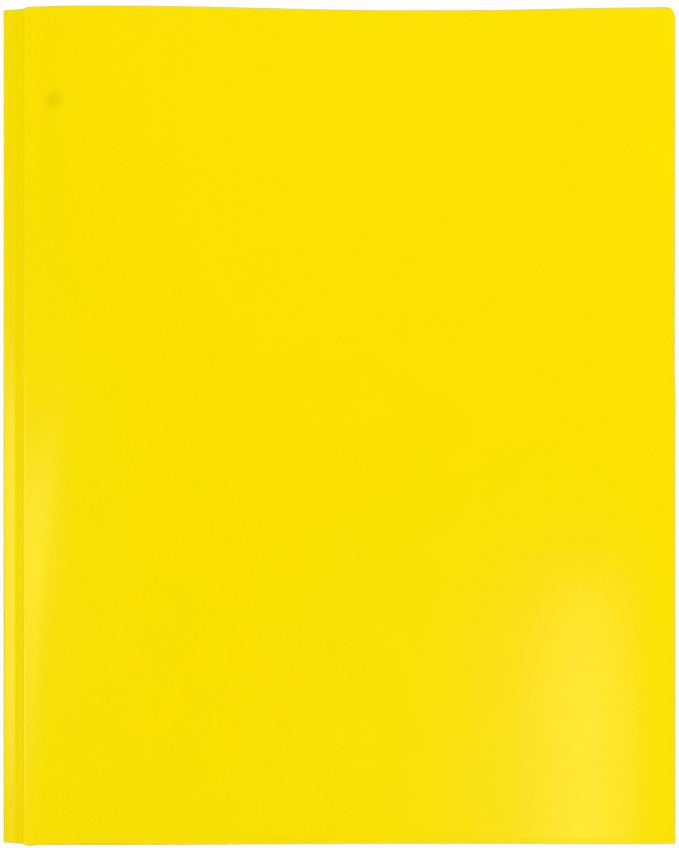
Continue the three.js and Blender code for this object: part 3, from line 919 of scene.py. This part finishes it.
def tongue_path(place, pivot):
    """The middle line of a leg and its prong, in distances from the hole and heights. The prong leans
    down until its tip lies on the strip."""
    plate_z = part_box(f"fastener_base_{place}")[0].z + HALF_METAL
    strip_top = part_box("fastener_strip")[1].z
    drop = pivot.z - (strip_top + LAYER_GAP + METAL_THICKNESS)
    lean = math.asin(drop / PRONG_LENGTH)
    tip = Vector((LEG_REACH + PRONG_LENGTH * math.cos(lean), pivot.z - PRONG_LENGTH * math.sin(lean)))
    turns = [Vector((LEG_START, plate_z)), Vector((LEG_ROOT, plate_z)), Vector((LEG_REACH, pivot.z)), tip]
    return evenly(rounded_path(turns, LEG_BEND_RADIUS, LEG_BEND_STEPS), TONGUE_STEP)


def tongue_half_width(length, whole):
    """Half the width of a tongue at a length along it. Its tip is round."""
    past = min(max(length - (whole - PRONG_TIP_RADIUS), 0.0), PRONG_TIP_RADIUS)
    return PRONG_WIDTH / 2 - PRONG_TIP_RADIUS + math.sqrt(PRONG_TIP_RADIUS ** 2 - past ** 2)


def bead_rise(length, across, whole):
    """Height of the stiffening bead along the middle of a prong."""
    start = whole - PRONG_LENGTH + BEAD_MARGIN
    end = whole - BEAD_MARGIN
    ends = ease(length, start, start + BEAD_END) * (1 - ease(length, end - BEAD_END, end))
    over = max(0.0, 1 - (2 * across / BEAD_WIDTH) ** 2)
    return BEAD_HEIGHT * ends * over * over


def build_tongue(place, end, direction):
    """A leg and its prong: one strip of steel from the plate, up through the strip and bent over."""
    pivot = joint_point(f"prong_{place}_{end}_bend")
    hole_y = pivot.y - direction * LEG_REACH
    path = tongue_path(place, pivot)
    lengths = [0.0]
    for before, after in zip(path, path[1:]):
        lengths.append(lengths[-1] + (after - before).length)
    whole = lengths[-1]

    def place_point(share, index):
        along = path[index]
        across = share * tongue_half_width(lengths[index], whole)
        rise = bead_rise(lengths[index], across, whole)
        return Vector((pivot.x + direction * across, hole_y + direction * along.x, along.y + rise))

    bm = bmesh.new()
    add_surface(bm, spaced(-1.0, 1.0, TONGUE_COLUMN), range(len(path)), place_point)
    bm.normal_update()
    highest = max(bm.faces, key=lambda face: face.calc_center_median().z)
    if highest.normal.z < 0:
        bmesh.ops.reverse_faces(bm, faces=bm.faces)
    thicken(bm, lambda point: HALF_METAL, lambda point: HALF_METAL, lambda point: False)
    name = f"prong_{place}_{end}"
    obj = round_edges(make_object(f"{name}_tongue", bm, (metal(), metal())),
                      settings().metal_edge_round)
    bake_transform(obj)
    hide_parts(name)


def build_plate(place):
    """The flat plate under the strip that carries a fastener's two tongues."""
    low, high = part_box(f"fastener_base_{place}")
    centre = (low + high) / 2
    radius = PLATE_WIDTH / 2 - HALF_METAL
    bm = bmesh.new()
    outline = []
    for turn_x, turn_y, start in ((1, 1, 0), (-1, 1, 90), (-1, -1, 180), (1, -1, 270)):
        for step in range(PLATE_CORNER_STEPS + 1):
            angle = math.radians(start + step * 90 / PLATE_CORNER_STEPS)
            outline.append(bm.verts.new((
                centre.x + turn_x * (PLATE_WIDTH / 2 - radius) + radius * math.cos(angle),
                centre.y + turn_y * (PLATE_LENGTH / 2 - radius) + radius * math.sin(angle),
                low.z)))
    face = bm.faces.new(outline)
    top = bmesh.ops.extrude_face_region(bm, geom=[face])
    raised = [item for item in top["geom"] if isinstance(item, bmesh.types.BMVert)]
    bmesh.ops.translate(bm, vec=(0, 0, METAL_THICKNESS), verts=raised)
    bmesh.ops.recalc_face_normals(bm, faces=bm.faces)
    obj = round_edges(make_object(f"fastener_plate_{place}", bm, (metal(),)),
                      settings().metal_edge_round)
    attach(obj, "back")
    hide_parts(f"fastener_base_{place}")


def build_strip():
    """The welded strip over the plates: the frame's piece, with its flat faces joined."""
    node = "fastener_strip"
    bm = bmesh.new()
    bm.from_mesh(frame["nodes"][node].data)
    bmesh.ops.remove_doubles(bm, verts=bm.verts, dist=FLAT_POINT)
    bmesh.ops.dissolve_limit(bm, angle_limit=FLAT_ANGLE, verts=bm.verts, edges=bm.edges)
    obj = make_object("fastener_strip_sheet", bm, (plain_sheet(),))
    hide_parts(node)
    round_edges(obj, settings().edge_round)
    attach(obj, "back")


# Weld marks, repeated along both edges of the strip by geometry nodes


def weld_inputs(group):
    """Adds the group's inputs and output, and gives the identifiers of the inputs."""
    inputs = {}
    for name, kind in (("Start", "NodeSocketVector"), ("Pitch", "NodeSocketFloat"),
                       ("Count", "NodeSocketInt"), ("Apart", "NodeSocketFloat"),
                       ("Mark Size", "NodeSocketVector")):
        socket = group.interface.new_socket(name, in_out="INPUT", socket_type=kind)
        inputs[name] = socket.identifier
    group.interface.new_socket("Geometry", in_out="OUTPUT", socket_type="NodeSocketGeometry")
    return inputs


def weld_row(group, given, step, share):
    """One row of points, set aside by a share of the distance between the rows."""
    link = group.links.new
    shift = group.nodes.new("ShaderNodeMath")
    shift.operation = "MULTIPLY"
    shift.inputs[1].default_value = share
    link(given.outputs["Apart"], shift.inputs[0])
    sideways = group.nodes.new("ShaderNodeCombineXYZ")
    link(shift.outputs[0], sideways.inputs["X"])
    start = group.nodes.new("ShaderNodeVectorMath")
    link(given.outputs["Start"], start.inputs[0])
    link(sideways.outputs["Vector"], start.inputs[1])
    row = group.nodes.new("GeometryNodeMeshLine")
    link(given.outputs["Count"], row.inputs["Count"])
    link(start.outputs["Vector"], row.inputs["Start Location"])
    link(step.outputs["Vector"], row.inputs["Offset"])
    return row.outputs["Mesh"]


def weld_mark_nodes(material):
    """A node group that sets two rows of small marks."""
    group = bpy.data.node_groups.new("weld_marks", "GeometryNodeTree")
    inputs = weld_inputs(group)
    link = group.links.new
    given = group.nodes.new("NodeGroupInput")
    result = group.nodes.new("NodeGroupOutput")
    mark = group.nodes.new("GeometryNodeMeshUVSphere")
    mark.inputs["Segments"].default_value = WELD_SEGMENTS
    mark.inputs["Rings"].default_value = WELD_RINGS
    mark.inputs["Radius"].default_value = 1.0
    smooth = group.nodes.new("GeometryNodeSetShadeSmooth")
    link(mark.outputs["Mesh"], smooth.inputs["Geometry"])
    step = group.nodes.new("ShaderNodeCombineXYZ")
    link(given.outputs["Pitch"], step.inputs["Y"])
    both = group.nodes.new("GeometryNodeJoinGeometry")
    for share in (0.0, 1.0):
        link(weld_row(group, given, step, share), both.inputs["Geometry"])
    instances = group.nodes.new("GeometryNodeInstanceOnPoints")
    link(both.outputs["Geometry"], instances.inputs["Points"])
    link(smooth.outputs["Geometry"], instances.inputs["Instance"])
    link(given.outputs["Mark Size"], instances.inputs["Scale"])
    real = group.nodes.new("GeometryNodeRealizeInstances")
    link(instances.outputs["Instances"], real.inputs["Geometry"])
    finish = group.nodes.new("GeometryNodeSetMaterial")
    finish.inputs["Material"].default_value = material
    link(real.outputs["Geometry"], finish.inputs["Geometry"])
    link(finish.outputs["Geometry"], result.inputs["Geometry"])
    return group, inputs


def build_weld_marks():
    """The strip's weld marks, as one mesh."""
    low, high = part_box("fastener_strip")
    pitch = settings().weld_pitch
    count = int((high.y - low.y - 2 * WELD_END) / pitch) + 1
    start_y = (low.y + high.y) / 2 - pitch * (count - 1) / 2
    edge_top = 2 * SHEET_THICKNESS + LAYER_GAP
    group, inputs = weld_mark_nodes(plain_sheet())
    mesh = bpy.data.meshes.new("strip_weld_marks")
    maker = bpy.data.objects.new("strip_weld_marks_maker", mesh)
    bpy.context.scene.collection.objects.link(maker)
    modifier = maker.modifiers.new("weld_marks", "NODES")
    modifier.node_group = group
    modifier[inputs["Start"]] = (low.x + WELD_MARGIN, start_y, edge_top - WELD_SINK)
    modifier[inputs["Pitch"]] = pitch
    modifier[inputs["Count"]] = count
    modifier[inputs["Apart"]] = high.x - low.x - 2 * WELD_MARGIN
    modifier[inputs["Mark Size"]] = WELD_SIZE
    bpy.context.view_layer.update()
    evaluated = maker.evaluated_get(bpy.context.evaluated_depsgraph_get())
    marks = bpy.data.meshes.new_from_object(evaluated)
    bpy.data.objects.remove(maker)
    obj = bpy.data.objects.new("strip_weld_marks", marks)
    bpy.context.scene.collection.objects.link(obj)
    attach(obj, "back")


# Stage


def aim(obj, target):
    """Turns a light to face a point."""
    obj.rotation_euler = (Vector(target) - obj.location).to_track_quat("-Z", "Y").to_euler()


def add_soft_light(name, place, size, power, target=None, mirrored=True):
    """A rectangular light that faces straight down, or its target."""
    data = bpy.data.lights.new(name, "AREA")
    data.shape = "RECTANGLE"
    data.size, data.size_y = size
    data.energy = power
    light = bpy.data.objects.new(name, data)
    light.location = place
    bpy.context.scene.collection.objects.link(light)
    light.visible_camera = False
    light.visible_glossy = mirrored
    if target:
        aim(light, target)


def floor_material():
    """Pale to every light, and plain white to the camera and in the metal."""
    material, tree = new_material("floor_white")
    link = tree.links.new
    rays = add_node(tree, "ShaderNodeLightPath")
    matt = add_node(tree, "ShaderNodeBsdfDiffuse")
    matt.inputs["Color"].default_value = FLOOR_COLOUR
    white = add_node(tree, "ShaderNodeEmission")
    blend = add_node(tree, "ShaderNodeMixShader")
    mirrored = math_node(tree, "ADD", rays.outputs["Is Glossy Ray"], rays.outputs["Is Transmission Ray"])
    link(math_node(tree, "ADD", rays.outputs["Is Camera Ray"], mirrored), blend.inputs["Fac"])
    link(matt.outputs["BSDF"], blend.inputs[1])
    link(white.outputs["Emission"], blend.inputs[2])
    finish_material(tree, blend.outputs["Shader"])
    return material


def build_floor():
    """A pale floor just under the folder."""
    bm = bmesh.new()
    bmesh.ops.create_grid(bm, x_segments=1, y_segments=1, size=FLOOR_SIZE)
    mesh = bpy.data.meshes.new("floor")
    bm.to_mesh(mesh)
    bm.free()
    mesh.materials.append(floor_material())
    floor = bpy.data.objects.new("floor", mesh)
    floor.location.z = -FLOOR_DROP
    bpy.context.scene.collection.objects.link(floor)


def build_world():
    """White behind the folder, and a dim room around it."""
    world = bpy.data.worlds.new("studio")
    bpy.context.scene.world = world
    world.use_nodes = True
    tree = world.node_tree
    tree.nodes.clear()
    rays = add_node(tree, "ShaderNodeLightPath").outputs["Is Camera Ray"]
    background = add_node(tree, "ShaderNodeBackground")
    tree.links.new(remap(tree, rays, 0.0, 1.0, ROOM_STRENGTH, 1.0), background.inputs["Strength"])
    background.inputs["Color"].default_value = WHITE
    output = add_node(tree, "ShaderNodeOutputWorld")
    tree.links.new(background.outputs["Background"], output.inputs["Surface"])


def build_camera():
    """Straight above the folder, close enough to show its bow at the edges."""
    data = bpy.data.cameras.new("above")
    data.sensor_width = CAMERA_SENSOR
    data.lens = CAMERA_LENS
    camera = bpy.data.objects.new("above", data)
    camera.location = CAMERA_PLACE
    bpy.context.scene.collection.objects.link(camera)
    bpy.context.scene.camera = camera


# Operators


class FOLDER_OT_back_sheet(bpy.types.Operator):
    """Builds the back sheet: its spine panel, cover and pocket"""

    bl_idname = "folder.back_sheet"
    bl_label = "Back sheet"
    bl_options = {"REGISTER", "UNDO"}

    def execute(self, context):
        build_sheet("back_sheet", "back_groove", back_level, 1, plain_sheet(),
                    ("back_cover", "back_bottom_fold", "back_pocket", "back_spine_panel"))
        return {"FINISHED"}


class FOLDER_OT_front_sheet(bpy.types.Operator):
    """Builds the front sheet: its spine panel, bowed cover and pocket"""

    bl_idname = "folder.front_sheet"
    bl_label = "Front sheet"
    bl_options = {"REGISTER", "UNDO"}

    def execute(self, context):
        build_sheet("front_sheet", "front_groove", front_level, -1, front_sheet_with_painted_shadows(),
                    ("front_cover", "front_bottom_fold", "front_pocket", "front_spine_panel"))
        return {"FINISHED"}


class FOLDER_OT_spine_fold(bpy.types.Operator):
    """Builds the fold between the two spine panels"""

    bl_idname = "folder.spine_fold"
    bl_label = "Spine fold"
    bl_options = {"REGISTER", "UNDO"}

    def execute(self, context):
        build_spine_fold()
        return {"FINISHED"}


class FOLDER_OT_fastener_strip(bpy.types.Operator):
    """Builds the strip that carries the fasteners, with its weld marks"""

    bl_idname = "folder.fastener_strip"
    bl_label = "Fastener strip"
    bl_options = {"REGISTER", "UNDO"}

    def execute(self, context):
        build_strip()
        build_weld_marks()
        return {"FINISHED"}


class FOLDER_OT_fasteners(bpy.types.Operator):
    """Builds the three fasteners, each with a plate and two prongs"""

    bl_idname = "folder.fasteners"
    bl_label = "Fasteners"
    bl_options = {"REGISTER", "UNDO"}

    def execute(self, context):
        for place in ("top", "middle", "bottom"):
            build_plate(place)
            for end, direction in (("upper", 1), ("lower", -1)):
                build_tongue(place, end, direction)
        return {"FINISHED"}


class FOLDER_OT_stage(bpy.types.Operator):
    """Builds the floor, the lights and the camera"""

    bl_idname = "folder.stage"
    bl_label = "Stage"
    bl_options = {"REGISTER", "UNDO"}

    def execute(self, context):
        bpy.context.scene.view_settings.view_transform = "Standard"
        build_floor()
        build_world()
        build_camera()
        for softbox in SOFTBOXES:
            add_soft_light(*softbox)
        for name, place, size, power, mirrored in WINDOWS:
            add_soft_light(name, place, size, power, (0, 0, 0), mirrored)
        return {"FINISHED"}


OPERATORS = (
    FOLDER_OT_back_sheet,
    FOLDER_OT_front_sheet,
    FOLDER_OT_spine_fold,
    FOLDER_OT_fastener_strip,
    FOLDER_OT_fasteners,
    FOLDER_OT_stage,
)


class FOLDER_PT_panel(bpy.types.Panel):
    """The folder's pieces and sizes"""

    bl_idname = "FOLDER_PT_panel"
    bl_label = "File folder"
    bl_space_type = "VIEW_3D"
    bl_region_type = "UI"
    bl_category = "Folder"

    def draw(self, context):
        for name in FolderSettings.__annotations__:
            self.layout.prop(context.scene.folder, name)
        for operator in OPERATORS:
            self.layout.operator(operator.bl_idname)


CLASSES = (FolderSettings, *OPERATORS, FOLDER_PT_panel)


def register():
    for item in CLASSES:
        bpy.utils.register_class(item)
    bpy.types.Scene.folder = PointerProperty(type=FolderSettings)


def unregister():
    del bpy.types.Scene.folder
    for item in reversed(CLASSES):
        bpy.utils.unregister_class(item)


def corners(bounds):
    return [list(corner) for corner in bounds]


def main():
    register()
    for operator in OPERATORS:
        group, name = operator.bl_idname.split(".")
        getattr(getattr(bpy.ops, group), name)()


if __name__ == "__main__":
    main()
